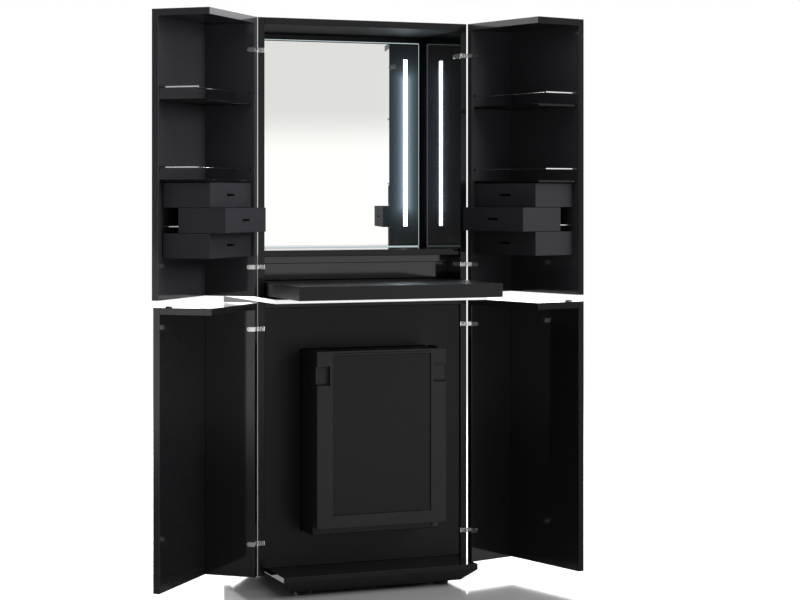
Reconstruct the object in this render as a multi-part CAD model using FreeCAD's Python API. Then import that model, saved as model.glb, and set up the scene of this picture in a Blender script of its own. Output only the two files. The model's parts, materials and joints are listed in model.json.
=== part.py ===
import FreeCAD, Part
import os

V = FreeCAD.Vector

# Carcass: width, depth and panels. X is to the right, Y to the back, Z up, front plane at Y = 0.
WIDTH = 630.0
DEPTH = 335.0
PANEL = 19.0
BACK_BOARD = 14.0
HALF_GAP = 3.0

# Heights from the floor
FOOT_HEIGHT = 13.0
PLINTH_HEIGHT = 33.0
BASE_THICKNESS = 16.0
LOWER_HEIGHT = 743.0
MID_PLATE_THICKNESS = 12.0
UPPER_HEIGHT = 778.0

# Box doors
DOOR_DEPTH = 168.5
DOOR_GAP = 2.4
DOOR_MEETING_GAP = 3.0
LOWER_DOOR_DROP = 19.0
UPPER_LEFT_ANGLE = 131.0
UPPER_RIGHT_ANGLE = 105.0
LOWER_LEFT_ANGLE = 130.0
LOWER_RIGHT_ANGLE = 105.0

# Hinges, each with a pin fixed in its carcass leaf
HINGE_HEIGHT = 12.5
HINGE_OUTSET = 1.0
LEAF_THICKNESS = 2.4
CARCASS_LEAF_RETURN = 58.0
DOOR_LEAF_RETURN = 24.0
KNUCKLE_RADIUS = 1.25
WEB_CLEARANCE = 0.1
PIN_RADIUS = 0.65
PIN_CLEARANCE = 0.05
KNUCKLE_GAP = 0.3
HINGE_FROM_TOP = 92.0
HINGE_FROM_BOTTOM = 81.0
LOWER_HINGE_FROM_TOP = 73.0
LOWER_HINGE_FROM_BOTTOM = 72.0

# Shelf slab and its guides
SHELF_THICKNESS = 38.0
SHELF_FRONT = 298.0
SHELF_REAR = 131.0
SHELF_SIDE_CLEARANCE = 1.5
MID_PLATE_DOOR_GAP = 5.5
SHELF_TOP_CLEARANCE = 0.4
GLIDE_WIDTH = 30.0
GLIDE_INSET = 40.0
GLIDE_FRONT_INSET = 8.0
KEEPER_WIDTH = 20.0
KEEPER_HEIGHT = 11.0

# Bar compartment
COUNTER_TOP = 129.0
COUNTER_THICKNESS = 18.0
COUNTER_SETBACK = 8.0
RECESS_DEPTH = 95.0
RECESS_PANEL = 12.0
RECESS_SHELF_GAP = 2.0
RECESS_LIP_HEIGHT = 21.0
RECESS_LIP_DEPTH = 15.0
MIRROR_THICKNESS = 5.0
MIRROR_SIDE_GAP = 13.0
MIRROR_TOP_GAP = 18.0
CARRIER_THICKNESS = 31.0
CARRIER_INSET = 12.0
STRIP_WIDTH = 13.0
STRIP_FROM_EDGE = 38.5
STRIP_BELOW_TOP = 51.0
STRIP_ABOVE_COUNTER = 62.0
LIGHT_GROOVE_WIDTH = 8.0
LIGHT_GROOVE_DEPTH = 18.0

# Fittings in the upper doors, heights from the door's bottom edge
DOOR_SHELF_TOPS = (322.0, 535.0)
DOOR_SHELF_THICKNESS = 6.0
DOOR_SHELF_INSET = 9.0
RAIL_RADIUS = 2.5
RAIL_ABOVE_SHELF = 32.0
RAIL_INSET = 9.0
RAIL_BEND = 25.0
DRAWER_FIRST = 112.0
DRAWER_HEIGHT = 66.5
DRAWER_STEP_GAP = 1.0
DRAWER_COUNT = 3
DRAWER_OPEN = (0.0, 45.0, 0.0)
DRAWER_HINGE_GAP = 5.0
DRAWER_END_INSET = 22.0
DRAWER_FACE_INSET = 9.0
DRAWER_BACK_GAP = 3.5
DRAWER_WALL = 12.0
DRAWER_FRONT_WALL = 14.0
DRAWER_BOTTOM = 6.0
PULL_LENGTH = 47.0
PULL_HEIGHT = 6.0
RUNNER_RADIUS = 2.5
RUNNER_CLEARANCE = 0.05
RUNNER_ABOVE_BOTTOM = 17.0
RUNNER_END_GAP = 5.0

# Base
BASE_SIDE_CLEARANCE = 9.0
BASE_FRONT = 145.0
BASE_BACK_INSET = 5.0
PLINTH_TAPER = 37.0
FOOT_RADIUS = 22.0
FOOT_INSET = 44.0

# Lower compartment
FILLER_SETBACK = 6.0
FILLER_THICKNESS = 18.0
CATCH_SPREAD = 38.0
CATCH_SIZE = (22.0, 9.0)
CATCH_CLEARANCE = 0.6
KEEPER_PAD = 14.0
KEEPER_PAD_CLEARANCE = 0.4
KEEPER_PAD_FROM_FRONT = 25.0
KEEPER_PAD_FROM_EDGE = 22.0

# Minibar
FRIDGE_WIDTH = 382.0
FRIDGE_BOTTOM = 125.0
FRIDGE_ABOVE = 133.0
FRIDGE_FRONT = 142.0
FRIDGE_BACK = 250.0
FRIDGE_WALL = 28.0
FRIDGE_SHELL_INSET = 4.0
FRIDGE_TOE = 25.0
FRIDGE_FIT = 2.0
FRIDGE_DOOR = 46.0
FRIDGE_DOOR_GAP = 4.0
LINER = 3.0
POST_WIDTH = 46.0
FACE_RECESS = 8.0
FACE_THICKNESS = 5.0
FACE_CLEARANCE = 0.3
FACE_TOP = 12.0
FACE_BOTTOM = 34.0
GRIP_DEPTH = 12.0
GRIP_HEIGHT = 52.0
GRIP_WIDTH = 37.0
GRIP_FROM_TOP = 41.0
SEAL_INSET = 14.0
SEAL_WIDTH = 14.0
SEAL_CLEARANCE = 0.3
SHELF_FIT = 0.3
FRIDGE_SHELF_HEIGHT = 212.0
FRIDGE_SHELF_THICKNESS = 4.0
FRIDGE_SHELF_SETBACK = 28.0
FRIDGE_PIN_RADIUS = 4.0
FRIDGE_PIN_LENGTH = 12.0
FRIDGE_PIN_FROM_SIDE = 10.0
FRIDGE_PIN_FROM_REAR = 20.0
BRACKET_THICKNESS = 3.0
BRACKET_WIDTH = 26.0
BRACKET_GAP = 1.0
BRACKET_SEAT = 32.0
BRACKET_FLANGE = 18.0

# Levels and planes that follow from the sizes above
BASE_BOTTOM = FOOT_HEIGHT + PLINTH_HEIGHT
BASE_TOP = BASE_BOTTOM + BASE_THICKNESS
LOWER_TOP = BASE_TOP + LOWER_HEIGHT
MID_TOP = LOWER_TOP + MID_PLATE_THICKNESS
UPPER_TOP = MID_TOP + UPPER_HEIGHT
LOWER_DOOR_BOTTOM = BASE_TOP - LOWER_DOOR_DROP
LOWER_DOOR_TOP = LOWER_TOP - HALF_GAP
UPPER_DOOR_BOTTOM = MID_TOP + HALF_GAP
HALF = WIDTH / 2
INNER = HALF - PANEL
BACK_FACE = DEPTH - BACK_BOARD
MIRROR_BACK = BACK_FACE - CARRIER_THICKNESS
MIRROR_FACE = MIRROR_BACK - MIRROR_THICKNESS
DOOR_REAR = -DOOR_GAP
DOOR_FRONT = DOOR_REAR - DOOR_DEPTH
DOOR_INSIDE = DOOR_FRONT + PANEL
DOOR_EDGE = -DOOR_MEETING_GAP / 2
HINGE_X = -HALF - HINGE_OUTSET
HINGE_Y = -DOOR_GAP / 2
SHELF_BOTTOM = UPPER_DOOR_BOTTOM
SHELF_TOP = SHELF_BOTTOM + SHELF_THICKNESS
COUNTER_LEVEL = MID_TOP + COUNTER_TOP
MID_PLATE_FRONT = DOOR_INSIDE + MID_PLATE_DOOR_GAP
FRIDGE_LOW = BASE_TOP + FRIDGE_BOTTOM
FRIDGE_TOP = LOWER_TOP - FRIDGE_ABOVE
FRIDGE_HALF = FRIDGE_WIDTH / 2
SHELL_HALF = FRIDGE_HALF - FRIDGE_SHELL_INSET
SHELL_LOW = FRIDGE_LOW - FRIDGE_TOE
ROOM_LOW = FRIDGE_LOW + FRIDGE_SHELL_INSET
SHELL_TOP = FRIDGE_TOP - FRIDGE_SHELL_INSET
FRIDGE_DOOR_REAR = -FRIDGE_FRONT + FRIDGE_DOOR
SHELL_FRONT = FRIDGE_DOOR_REAR + FRIDGE_DOOR_GAP
UPPER_HINGES = (UPPER_TOP - HINGE_FROM_TOP, UPPER_DOOR_BOTTOM + HINGE_FROM_BOTTOM)
LOWER_HINGES = (LOWER_DOOR_TOP - LOWER_HINGE_FROM_TOP, BASE_TOP + LOWER_HINGE_FROM_BOTTOM)

nodes = {}


def box(x, y, z):
    """A block between the two values given on each axis."""
    size = [pair[1] - pair[0] for pair in (x, y, z)]
    return Part.makeBox(*size, V(x[0], y[0], z[0]))


def rod(start, end, radius):
    """A round bar from one point to another."""
    along = end - start
    return Part.makeCylinder(radius, along.Length, start, along)


def mirrored(shape):
    """The same piece on the other side of the cabinet's middle plane."""
    return shape.mirror(V(0, 0, 0), V(1, 0, 0))


def both(shape):
    """A piece and its mirror image."""
    return [shape, mirrored(shape)]


def group(shapes):
    """Separate solids kept in one node."""
    return Part.makeCompound(shapes)


def swing(shape, side, angle):
    """Turn a closed left hand door piece to its open angle on the side it belongs to."""
    turned = shape.copy()
    turned.rotate(V(HINGE_X, HINGE_Y, 0), V(0, 0, 1), -angle)
    return turned if side == "left" else mirrored(turned)


def leaf_plates(level, face, direction, reach):
    """The two flat wings of a hinge leaf, sunk flush into a panel's edge and inner face."""
    z = (level - HINGE_HEIGHT / 2, level + HINGE_HEIGHT / 2)
    edge = box((-HALF, -INNER), sorted((face, face + direction * LEAF_THICKNESS)), z)
    straight = reach - HINGE_HEIGHT / 2
    inner = box((-INNER - LEAF_THICKNESS, -INNER), sorted((face, face + direction * straight)), z)
    tip = Part.makeCylinder(HINGE_HEIGHT / 2, LEAF_THICKNESS,
                            V(-INNER - LEAF_THICKNESS, face + direction * straight, level), V(1, 0, 0))
    return edge.fuse([inner, tip]).removeSplitter()


def knuckle(face, direction, z):
    """The barrel of a leaf and the web that joins it to the wing."""
    web_x = (HINGE_X - HINGE_OUTSET + WEB_CLEARANCE, -HALF)
    web = box(web_x, sorted((HINGE_Y, face + direction * LEAF_THICKNESS)), z)
    barrel = Part.makeCylinder(KNUCKLE_RADIUS, z[1] - z[0], V(HINGE_X, HINGE_Y, z[0]))
    return web.fuse(barrel)


def carcass_leaf(level):
    """Carcass half of a hinge, with its fixed pin."""
    low = level - HINGE_HEIGHT / 2
    pin = Part.makeCylinder(PIN_RADIUS, HINGE_HEIGHT, V(HINGE_X, HINGE_Y, low))
    barrel = knuckle(0, 1, (low, level - KNUCKLE_GAP / 2))
    return leaf_plates(level, 0, 1, CARCASS_LEAF_RETURN).fuse([barrel, pin]).removeSplitter()


def door_leaf(level):
    """Door half of a hinge, bored for the pin."""
    high = level + HINGE_HEIGHT / 2
    barrel = knuckle(DOOR_REAR, -1, (level + KNUCKLE_GAP / 2, high))
    hole = Part.makeCylinder(PIN_RADIUS + PIN_CLEARANCE, HINGE_HEIGHT, V(HINGE_X, HINGE_Y, level))
    plates = leaf_plates(level, DOOR_REAR, -1, DOOR_LEAF_RETURN)
    return plates.fuse(barrel).removeSplitter().cut(hole)


def side_panel(z, levels):
    """A carcass side with the hinge leaves' pockets in its front edge."""
    pockets = [leaf_plates(level, 0, 1, CARCASS_LEAF_RETURN) for level in levels]
    return box((-HALF, -INNER), (0, DEPTH), z).cut(pockets)


def make_upper_carcass():
    side = side_panel((MID_TOP, UPPER_TOP), UPPER_HINGES)
    nodes["upper_left_side"] = side
    nodes["upper_right_side"] = mirrored(side)
    width = (-INNER, INNER)
    nodes["upper_top"] = box(width, (0, DEPTH), (UPPER_TOP - PANEL, UPPER_TOP))
    nodes["upper_back"] = box(width, (BACK_FACE, DEPTH), (MID_TOP, UPPER_TOP - PANEL))
    counter_low = COUNTER_LEVEL - COUNTER_THICKNESS
    nodes["counter"] = box(width, (COUNTER_SETBACK, BACK_FACE), (counter_low, COUNTER_LEVEL))
    recess = (RECESS_DEPTH, RECESS_DEPTH + RECESS_PANEL)
    board = box(width, recess, (SHELF_TOP + RECESS_SHELF_GAP, counter_low))
    lip_y = (RECESS_DEPTH - RECESS_LIP_DEPTH, RECESS_DEPTH)
    lip = box(width, lip_y, (counter_low - RECESS_LIP_HEIGHT, counter_low))
    nodes["recess_back"] = board.fuse(lip).removeSplitter()


def make_mirror():
    """A mirror with a light strip let into it, on a carrier board with a groove for the lamp."""
    half = INNER - MIRROR_SIDE_GAP
    z = (COUNTER_LEVEL, UPPER_TOP - PANEL - MIRROR_TOP_GAP)
    outer = half - STRIP_FROM_EDGE
    sheet_y = (MIRROR_FACE, MIRROR_BACK)
    strip_x = (outer - STRIP_WIDTH, outer)
    strip_z = (COUNTER_LEVEL + STRIP_ABOVE_COUNTER, z[1] - STRIP_BELOW_TOP)
    strip = box(strip_x, sheet_y, strip_z)
    nodes["mirror"] = box((-half, half), sheet_y, z).cut(strip)
    nodes["light_strip"] = strip
    carrier_half = half - CARRIER_INSET
    carrier_z = (COUNTER_LEVEL, z[1] - CARRIER_INSET)
    side = (STRIP_WIDTH - LIGHT_GROOVE_WIDTH) / 2
    groove = box((strip_x[0] + side, strip_x[1] - side),
                 (MIRROR_BACK, MIRROR_BACK + LIGHT_GROOVE_DEPTH), carrier_z)
    carrier = box((-carrier_half, carrier_half), (MIRROR_BACK, BACK_FACE), carrier_z)
    nodes["mirror_carrier"] = carrier.cut(groove)


def make_shelf():
    half = INNER - SHELF_SIDE_CLEARANCE
    nodes["pull_out_shelf"] = box((-half, half), (-SHELF_FRONT, SHELF_REAR), (SHELF_BOTTOM, SHELF_TOP))
    plate = box((-HALF, HALF), (MID_PLATE_FRONT, DEPTH), (LOWER_TOP, MID_TOP))
    nodes["mid_plate"] = plate
    glide_x = (-half + GLIDE_INSET, -half + GLIDE_INSET + GLIDE_WIDTH)
    glide = box(glide_x, (MID_PLATE_FRONT + GLIDE_FRONT_INSET, BACK_FACE), (MID_TOP, SHELF_BOTTOM))
    keeper_low = SHELF_TOP + SHELF_TOP_CLEARANCE
    keeper = box((-INNER, -INNER + KEEPER_WIDTH), (RECESS_DEPTH + RECESS_PANEL, BACK_FACE),
                 (keeper_low, keeper_low + KEEPER_HEIGHT))
    nodes["shelf_guides"] = group(both(glide) + both(keeper))


def make_lower_carcass():
    side = side_panel((LOWER_DOOR_BOTTOM, LOWER_TOP), LOWER_HINGES)
    nodes["lower_left_side"] = side
    nodes["lower_right_side"] = mirrored(side)
    width = (-INNER, INNER)
    board_low = LOWER_TOP - PANEL
    nodes["lower_top"] = box(width, (0, DEPTH), (board_low, LOWER_TOP))
    nodes["lower_back"] = box(width, (BACK_FACE, DEPTH), (BASE_TOP, board_low))
    filler_y = (FILLER_SETBACK, FILLER_SETBACK + FILLER_THICKNESS)
    opening = box((-SHELL_HALF - FRIDGE_FIT, SHELL_HALF + FRIDGE_FIT), filler_y,
                  (SHELL_LOW - FRIDGE_FIT, SHELL_TOP + FRIDGE_FIT))
    nodes["filler_panel"] = box(width, filler_y, (BASE_TOP, board_low)).cut(opening)
    nodes["fridge_support"] = box(width, (filler_y[1], BACK_FACE), (SHELL_LOW - PANEL, SHELL_LOW))
    long, tall = CATCH_SIZE
    middle = LOWER_TOP - PANEL / 2
    catch = box((-CATCH_SPREAD - long / 2, -CATCH_SPREAD + long / 2), (CATCH_CLEARANCE - DOOR_GAP, 0),
                (middle - tall / 2, middle + tall / 2))
    nodes["door_catches"] = group(both(catch))


def make_base():
    half = INNER - BASE_SIDE_CLEARANCE
    back = DEPTH - BASE_BACK_INSET
    nodes["base_plate"] = box((-half, half), (-BASE_FRONT, back), (BASE_BOTTOM, BASE_TOP))

    def outline(inset, level):
        x = half - inset
        front = -BASE_FRONT + inset
        rear = back - inset
        corners = [V(-x, front, level), V(x, front, level), V(x, rear, level), V(-x, rear, level)]
        return Part.makePolygon(corners + corners[:1])

    sections = [outline(PLINTH_TAPER, FOOT_HEIGHT), outline(0, BASE_BOTTOM)]
    nodes["plinth"] = Part.makeLoft(sections, True, True)
    foot_x = half - PLINTH_TAPER - FOOT_INSET
    rows = (-BASE_FRONT + PLINTH_TAPER + FOOT_INSET, back - PLINTH_TAPER - FOOT_INSET)
    feet = [Part.makeCylinder(FOOT_RADIUS, FOOT_HEIGHT, V(-foot_x, y, 0)) for y in rows]
    nodes["feet"] = group(feet + [mirrored(foot) for foot in feet])


def make_door(level, side, angle, z, hinges):
    """Front, side and top panels of one box door, with its hinge leaves."""
    name = f"{level}_{side}_door"
    leaves = [door_leaf(height) for height in hinges]
    pockets = [leaf_plates(height, DOOR_REAR, -1, DOOR_LEAF_RETURN) for height in hinges]
    depth = (DOOR_INSIDE, DOOR_REAR)
    roof = z[1] - PANEL
    front = box((-HALF, DOOR_EDGE), (DOOR_FRONT, DOOR_INSIDE), z)
    flank = box((-HALF, -INNER), depth, (z[0], roof)).cut(pockets)
    top = box((-HALF, DOOR_EDGE), depth, (roof, z[1]))
    nodes[f"{name}_front"] = swing(front, side, angle)
    nodes[f"{name}_side"] = swing(flank, side, angle)
    nodes[f"{name}_top"] = swing(top, side, angle)
    nodes[f"{name}_hinge_leaves"] = swing(group(leaves), side, angle)


def make_keeper(side, angle):
    """Small catch pad on the top of a lower door, under the mid plate when the door is shut."""
    x = DOOR_EDGE - KEEPER_PAD_FROM_EDGE
    y = DOOR_FRONT + KEEPER_PAD_FROM_FRONT
    pad_z = (LOWER_DOOR_TOP, LOWER_TOP - KEEPER_PAD_CLEARANCE)
    pad = box((x - KEEPER_PAD, x), (y, y + KEEPER_PAD), pad_z)
    nodes[f"lower_{side}_door_keeper"] = swing(pad, side, angle)


def gallery_rail(level):
    """A bent rod from the door's front panel round the free corner to its side panel."""
    x = DOOR_EDGE - RAIL_INSET
    y = DOOR_REAR - RAIL_INSET
    start = V(x, DOOR_INSIDE, level)
    before = V(x, y - RAIL_BEND, level)
    slant = RAIL_BEND * (1 - 2 ** -0.5)
    bend = Part.Arc(before, V(x - slant, y - slant, level), V(x - RAIL_BEND, y, level))
    path = Part.Wire([Part.LineSegment(start, before).toShape(), bend.toShape(),
                      Part.LineSegment(V(x - RAIL_BEND, y, level), V(-INNER, y, level)).toShape()])
    section = Part.Wire(Part.makeCircle(RAIL_RADIUS, start, V(0, 1, 0)))
    return path.makePipeShell([section], True, False)


def make_door_shelves(side, angle):
    shelves = []
    rails = []
    for height in DOOR_SHELF_TOPS:
        top = UPPER_DOOR_BOTTOM + height
        depth = (DOOR_INSIDE, DOOR_REAR - DOOR_SHELF_INSET)
        shelf = box((-INNER, DOOR_EDGE - DOOR_SHELF_INSET), depth, (top - DOOR_SHELF_THICKNESS, top))
        shelves.append(shelf)
        rails.append(gallery_rail(top + RAIL_ABOVE_SHELF))
    nodes[f"upper_{side}_door_shelves"] = swing(group(shelves), side, angle)
    nodes[f"upper_{side}_gallery_rails"] = swing(group(rails), side, angle)


def make_drawers(side, angle):
    """Three stacked drawers that slide on round runners fixed in the door's front panel."""
    x = (-INNER + DRAWER_HINGE_GAP, DOOR_EDGE - DRAWER_END_INSET)
    y = (DOOR_INSIDE + DRAWER_BACK_GAP, DOOR_REAR - DRAWER_FACE_INSET)
    runner_end = y[1] - DRAWER_FRONT_WALL / 2 - RUNNER_END_GAP
    runners = []
    for index in range(DRAWER_COUNT):
        low = UPPER_DOOR_BOTTOM + DRAWER_FIRST + index * (DRAWER_HEIGHT + DRAWER_STEP_GAP)
        high = low + DRAWER_HEIGHT
        tray = box(x, y, (low, high))
        inside_x = (x[0] + DRAWER_WALL, x[1] - DRAWER_WALL)
        inside_y = (y[0] + DRAWER_WALL, y[1] - DRAWER_FRONT_WALL)
        inside = box(inside_x, inside_y, (low + DRAWER_BOTTOM, high))
        middle = V((x[0] + x[1]) / 2, y[1] - DRAWER_FRONT_WALL, (low + high) / 2)
        reach = (PULL_LENGTH - PULL_HEIGHT) / 2
        ends = [middle + V(shift, 0, 0) for shift in (-reach, reach)]
        slot = [rod(end, end + V(0, DRAWER_FRONT_WALL, 0), PULL_HEIGHT / 2) for end in ends]
        slot.append(box((ends[0].x, ends[1].x), (middle.y, y[1]),
                        (middle.z - PULL_HEIGHT / 2, middle.z + PULL_HEIGHT / 2)))
        bores = []
        for wall in (x[0] + DRAWER_WALL / 2, x[1] - DRAWER_WALL / 2):
            start = V(wall, DOOR_INSIDE, low + RUNNER_ABOVE_BOTTOM)
            end = V(wall, runner_end, start.z)
            runners.append(rod(start, end, RUNNER_RADIUS))
            bores.append(rod(start, end + V(0, RUNNER_END_GAP, 0), RUNNER_RADIUS + RUNNER_CLEARANCE))
        drawer = tray.cut([inside] + slot + bores)
        drawer.translate(V(0, DRAWER_OPEN[index], 0))
        nodes[f"upper_{side}_drawer_{index + 1}"] = swing(drawer, side, angle)
    nodes[f"upper_{side}_drawer_runners"] = swing(group(runners), side, angle)


def make_hinges():
    leaves = [carcass_leaf(level) for level in UPPER_HINGES + LOWER_HINGES]
    nodes["hinge_carcass_leaves"] = group(leaves + [mirrored(leaf) for leaf in leaves])


def make_fridge():
    """Minibar: foam filled shell, liner, inner shelf and a door hung on two pins at its right."""
    x = (-SHELL_HALF, SHELL_HALF)
    z = (SHELL_LOW, SHELL_TOP)
    cavity_x = (x[0] + FRIDGE_WALL, x[1] - FRIDGE_WALL)
    cavity_z = (ROOM_LOW + FRIDGE_WALL, z[1] - FRIDGE_WALL)
    cavity_y = (SHELL_FRONT, FRIDGE_BACK - FRIDGE_WALL)
    cavity = box(cavity_x, cavity_y, cavity_z)
    nodes["fridge_shell"] = box(x, (SHELL_FRONT, FRIDGE_BACK), z).cut(cavity)
    room_x = (cavity_x[0] + LINER, cavity_x[1] - LINER)
    room_y = (SHELL_FRONT, cavity_y[1] - LINER)
    room_z = (cavity_z[0] + LINER, cavity_z[1] - LINER)
    nodes["fridge_liner"] = cavity.cut(box(room_x, room_y, room_z))
    shelf_low = room_z[0] + FRIDGE_SHELF_HEIGHT
    nodes["fridge_shelf"] = box((room_x[0] + SHELF_FIT, room_x[1] - SHELF_FIT),
                                (room_y[0] + FRIDGE_SHELF_SETBACK, room_y[1] - SHELF_FIT),
                                (shelf_low, shelf_low + FRIDGE_SHELF_THICKNESS))


def make_fridge_door():
    x = (-FRIDGE_HALF, FRIDGE_HALF)
    y = (-FRIDGE_FRONT, FRIDGE_DOOR_REAR)
    z = (FRIDGE_LOW, FRIDGE_TOP)
    face_x = (x[0] + POST_WIDTH, x[1] - POST_WIDTH)
    face_z = (z[0] + FACE_BOTTOM, z[1] - FACE_TOP)
    recess = box(face_x, (y[0], y[0] + FACE_RECESS), face_z)
    grip_high = z[1] - GRIP_FROM_TOP
    grip_z = (grip_high - GRIP_HEIGHT, grip_high)
    grip = box((x[0], x[0] + GRIP_WIDTH), (y[0], y[0] + GRIP_DEPTH), grip_z)
    pin = V(x[1] - FRIDGE_PIN_FROM_SIDE, y[1] - FRIDGE_PIN_FROM_REAR, 0)
    hole_radius = FRIDGE_PIN_RADIUS + PIN_CLEARANCE
    hole_depth = FRIDGE_PIN_LENGTH + BRACKET_GAP
    bottoms = (z[0], z[1] - hole_depth)
    holes = [Part.makeCylinder(hole_radius, hole_depth, V(pin.x, pin.y, low)) for low in bottoms]
    nodes["fridge_door"] = box(x, y, z).cut([recess] + both(grip) + holes)
    inset = FACE_CLEARANCE
    nodes["fridge_door_face"] = box((face_x[0] + inset, face_x[1] - inset),
                                    (y[0] + FACE_RECESS - FACE_THICKNESS, y[0] + FACE_RECESS),
                                    (face_z[0] + inset, face_z[1] - inset))
    seal_y = (y[1], SHELL_FRONT - SEAL_CLEARANCE)
    ring_x = (-SHELL_HALF + SEAL_INSET, SHELL_HALF - SEAL_INSET)
    ring_z = (ROOM_LOW + SEAL_INSET, SHELL_TOP - SEAL_INSET)
    hollow = box((ring_x[0] + SEAL_WIDTH, ring_x[1] - SEAL_WIDTH), seal_y,
                 (ring_z[0] + SEAL_WIDTH, ring_z[1] - SEAL_WIDTH))
    nodes["fridge_door_seal"] = box(ring_x, seal_y, ring_z).cut(hollow)

    plate_x = (pin.x - BRACKET_WIDTH / 2, pin.x + FRIDGE_PIN_FROM_SIDE - FRIDGE_SHELL_INSET)

    def bracket(edge, away, rear):
        """A plate past the door's end with the pin that the door turns on."""
        near = edge + away * BRACKET_GAP
        plate_z = sorted((near, near + away * BRACKET_THICKNESS))
        plate = box(plate_x, (pin.y - BRACKET_WIDTH / 2, rear), plate_z)
        tip = V(pin.x, pin.y, edge - away * FRIDGE_PIN_LENGTH)
        return plate.fuse(rod(V(pin.x, pin.y, near), tip, FRIDGE_PIN_RADIUS))

    # The upper bracket lies on the shell and the lower one is fixed to the front of its toe.
    seat_y = (SHELL_FRONT, SHELL_FRONT + BRACKET_SEAT)
    lift = box(plate_x, seat_y, (SHELL_TOP, z[1] + BRACKET_GAP))
    flange_z = (z[0] - BRACKET_GAP - BRACKET_FLANGE, z[0] - BRACKET_GAP)
    flange = box(plate_x, (SHELL_FRONT - BRACKET_THICKNESS, SHELL_FRONT), flange_z)
    upper = bracket(z[1], 1, seat_y[1]).fuse(lift)
    lower = bracket(z[0], -1, SHELL_FRONT).fuse(flange)
    nodes["fridge_hinge_brackets"] = group([upper, lower])


make_upper_carcass()
make_mirror()
make_shelf()
make_lower_carcass()
make_base()
make_hinges()
make_fridge()
make_fridge_door()
angles = {"left": (UPPER_LEFT_ANGLE, LOWER_LEFT_ANGLE), "right": (UPPER_RIGHT_ANGLE, LOWER_RIGHT_ANGLE)}
for side, (upper, lower) in angles.items():
    make_door("upper", side, upper, (UPPER_DOOR_BOTTOM, UPPER_TOP), UPPER_HINGES)
    make_door("lower", side, lower, (LOWER_DOOR_BOTTOM, LOWER_DOOR_TOP), LOWER_HINGES)
    make_keeper(side, lower)
    make_door_shelves(side, upper)
    make_drawers(side, upper)

# The origin is the middle of the footprint, doors as they stand, on the floor.
bounds = group(list(nodes.values())).BoundBox
home = V(-bounds.Center.x, -bounds.Center.y, -bounds.ZMin)
os.makedirs("parts", exist_ok=True)
for name, shape in nodes.items():
    shape.translate(home)
    shape.exportStep(f"parts/{name}.step")
print("nodes", len(nodes), "moved by", [round(value, 3) for value in home])
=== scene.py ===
# %% [markdown]
# # A black bar cabinet
# The cabinet is a tall carcass of lacquered boards with four box-shaped doors.
# Its construction and its motion come from a CAD model. This lesson dresses that
# model: each board, fitting and finish is made here, in the place the CAD gives it.
# The first cell loads the CAD model, and notes its box before anything is added.

# %% Load the frame
import json
from math import pi, radians

import bpy
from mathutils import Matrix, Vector

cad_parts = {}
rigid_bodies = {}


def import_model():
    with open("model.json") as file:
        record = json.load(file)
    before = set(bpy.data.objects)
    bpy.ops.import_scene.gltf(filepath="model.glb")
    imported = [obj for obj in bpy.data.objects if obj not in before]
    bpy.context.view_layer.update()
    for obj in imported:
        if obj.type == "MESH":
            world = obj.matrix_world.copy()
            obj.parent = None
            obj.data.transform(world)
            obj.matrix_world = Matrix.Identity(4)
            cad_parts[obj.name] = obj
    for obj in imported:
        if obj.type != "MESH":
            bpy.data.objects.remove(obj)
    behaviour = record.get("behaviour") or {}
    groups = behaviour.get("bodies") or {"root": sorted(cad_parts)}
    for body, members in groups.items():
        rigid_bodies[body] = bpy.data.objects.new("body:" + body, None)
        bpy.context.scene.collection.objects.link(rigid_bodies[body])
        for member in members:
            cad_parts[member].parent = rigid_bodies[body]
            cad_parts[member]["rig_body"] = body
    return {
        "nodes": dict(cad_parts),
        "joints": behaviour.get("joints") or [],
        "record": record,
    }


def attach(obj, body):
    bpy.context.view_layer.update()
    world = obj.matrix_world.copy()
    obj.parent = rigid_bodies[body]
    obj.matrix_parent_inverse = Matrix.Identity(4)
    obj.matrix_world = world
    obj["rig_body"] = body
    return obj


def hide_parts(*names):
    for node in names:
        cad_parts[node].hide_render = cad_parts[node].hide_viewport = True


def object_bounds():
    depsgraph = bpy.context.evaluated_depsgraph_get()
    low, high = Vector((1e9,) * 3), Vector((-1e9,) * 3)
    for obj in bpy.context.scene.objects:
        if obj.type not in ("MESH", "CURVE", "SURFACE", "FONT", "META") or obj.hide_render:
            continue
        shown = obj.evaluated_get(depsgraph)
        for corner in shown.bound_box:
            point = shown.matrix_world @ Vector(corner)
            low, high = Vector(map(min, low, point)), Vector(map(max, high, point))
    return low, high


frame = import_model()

cad_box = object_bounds()
nodes = frame["nodes"]
slot_of = {part["node"]: part["material_slot"] for part in frame["record"]["subparts"]}
print("nodes", len(nodes), "box", [tuple(corner) for corner in cad_box])

# %% [markdown]
# The doors stand open in the photograph, so their boards lie at odd angles. It is far
# easier to model a board square and then swing it open, as a joiner would. Each door's
# hinge gives the point it turns about, and its range says how far it is from shut.

# %% Doors and their hinges
hinges = {}
for joint in frame["joints"]:
    if joint["type"] == "hinge" and joint["range_deg"][0] < 0:
        swing = -radians(joint["range_deg"][0]) * joint["axis"][2]
        hinges[joint["child"]] = (Vector(joint["pos_m"]), swing)


def door_of(body):
    """The hinged door that carries a body, or None for the cabinet itself."""
    return next((door for door in hinges if body.startswith(door.removesuffix("door"))), None)


print("doors", {door: round(swing, 3) for door, (pivot, swing) in hinges.items()})

# %% [markdown]
# An operator acts on everything that is selected, so a step starts by selecting one
# piece alone. Inside a piece, faces, edges and points are picked by their place or
# direction, because there is no mouse here to click on them.

# %% Selecting and turning
PICK_MODES = {
    "vertices": (True, False, False),
    "edges": (False, True, False),
    "polygons": (False, False, True),
}


def only(piece):
    """Selects one piece and makes it the active one."""
    bpy.ops.object.select_all(action="DESELECT")
    piece.select_set(True)
    bpy.context.view_layer.objects.active = piece


def object_mode():
    bpy.ops.object.mode_set(mode="OBJECT")


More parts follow.
